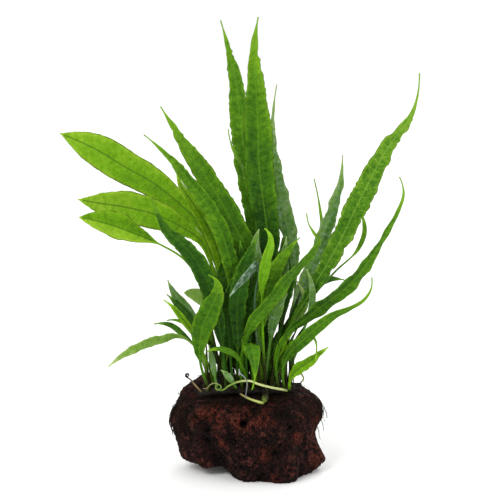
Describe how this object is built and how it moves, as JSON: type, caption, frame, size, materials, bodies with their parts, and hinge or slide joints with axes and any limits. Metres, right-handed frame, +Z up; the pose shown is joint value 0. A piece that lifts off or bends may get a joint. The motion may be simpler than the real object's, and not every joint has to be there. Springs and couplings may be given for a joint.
{
  "type": "java fern on lava stone",
  "caption": "Aquarium fern with long tapering fronds rising from a creeping stem that grips a porous dark red lava stone.",
  "frame": {"origin": "on the flat underside of the stone, about under its middle", "axes": "+Z up along the tallest frond, front towards -Y, +X to the right seen from the front"},
  "size_m": [0.1812, 0.1049, 0.2291],
  "materials": {
    "stone": "rough porous lava, dark red brown",
    "rhizome": "dull brown green, scaly",
    "root": "fine dark felt",
    "young": "smooth pale green stalk",
    "blade_bright": "satin leaf, light yellow green",
    "blade_green": "satin leaf, middle green",
    "blade_deep": "satin leaf, deep green",
    "blade_grey": "satin leaf, greyish green",
    "blade_pale": "satin leaf, pale green"
  },
  "bodies": {
    "root": {"lava_stone": "stone", "root_mat": "root", "root_tuft": "root", "rhizome_main": "rhizome", "rhizome_left": "rhizome", "rhizome_mid": "rhizome", "rhizome_right": "rhizome", "rhizome_spur": "rhizome", "crozier_left": "young", "young_frond_curled": "young", "young_stipe_front": "young", "young_stipe_hooked": "young", "frond_broad_left": "blade_bright", "frond_left_middle": "blade_bright", "frond_left_lower": "blade_green", "frond_left_dark": "blade_deep", "frond_left_sliver": "blade_bright", "frond_left_tall_front": "blade_green", "frond_left_tall": "blade_green", "frond_left_inner": "blade_deep", "frond_top_left": "blade_bright", "frond_top_middle": "blade_deep", "frond_top_right": "blade_grey", "frond_top_curl": "blade_green", "frond_right_tall": "blade_green", "frond_right_inner": "blade_deep", "frond_right_thin": "blade_green", "frond_front_diagonal": "blade_green", "frond_front_small": "blade_grey", "frond_pale_thin": "blade_pale", "frond_right_long": "blade_green", "frond_right_hooked": "blade_green", "frond_right_wiry": "blade_green", "frond_right_level": "blade_deep", "frond_right_low": "blade_bright", "frond_right_hanging": "blade_bright", "frond_right_short": "blade_green", "frond_right_yellow": "blade_bright", "frond_left_front": "blade_green", "frond_left_fine_dark": "blade_deep", "frond_left_fine_light": "blade_bright", "frond_left_grey": "blade_grey", "frond_left_pale": "blade_pale", "frond_left_arching": "blade_pale", "frond_left_wiry": "blade_deep", "frond_left_upright": "blade_grey", "frond_front_drooping": "blade_bright", "frond_front_bright": "blade_bright", "frond_front_green": "blade_green", "frond_front_mottled": "blade_grey", "frond_front_bent": "blade_grey", "frond_centre_a": "blade_deep", "frond_centre_b": "blade_deep", "frond_centre_c": "blade_deep", "frond_centre_d": "blade_deep", "frond_back_a": "blade_green", "frond_back_b": "blade_green", "frond_back_c": "blade_bright", "frond_back_d": "blade_deep"}
  },
  "joints": []
}
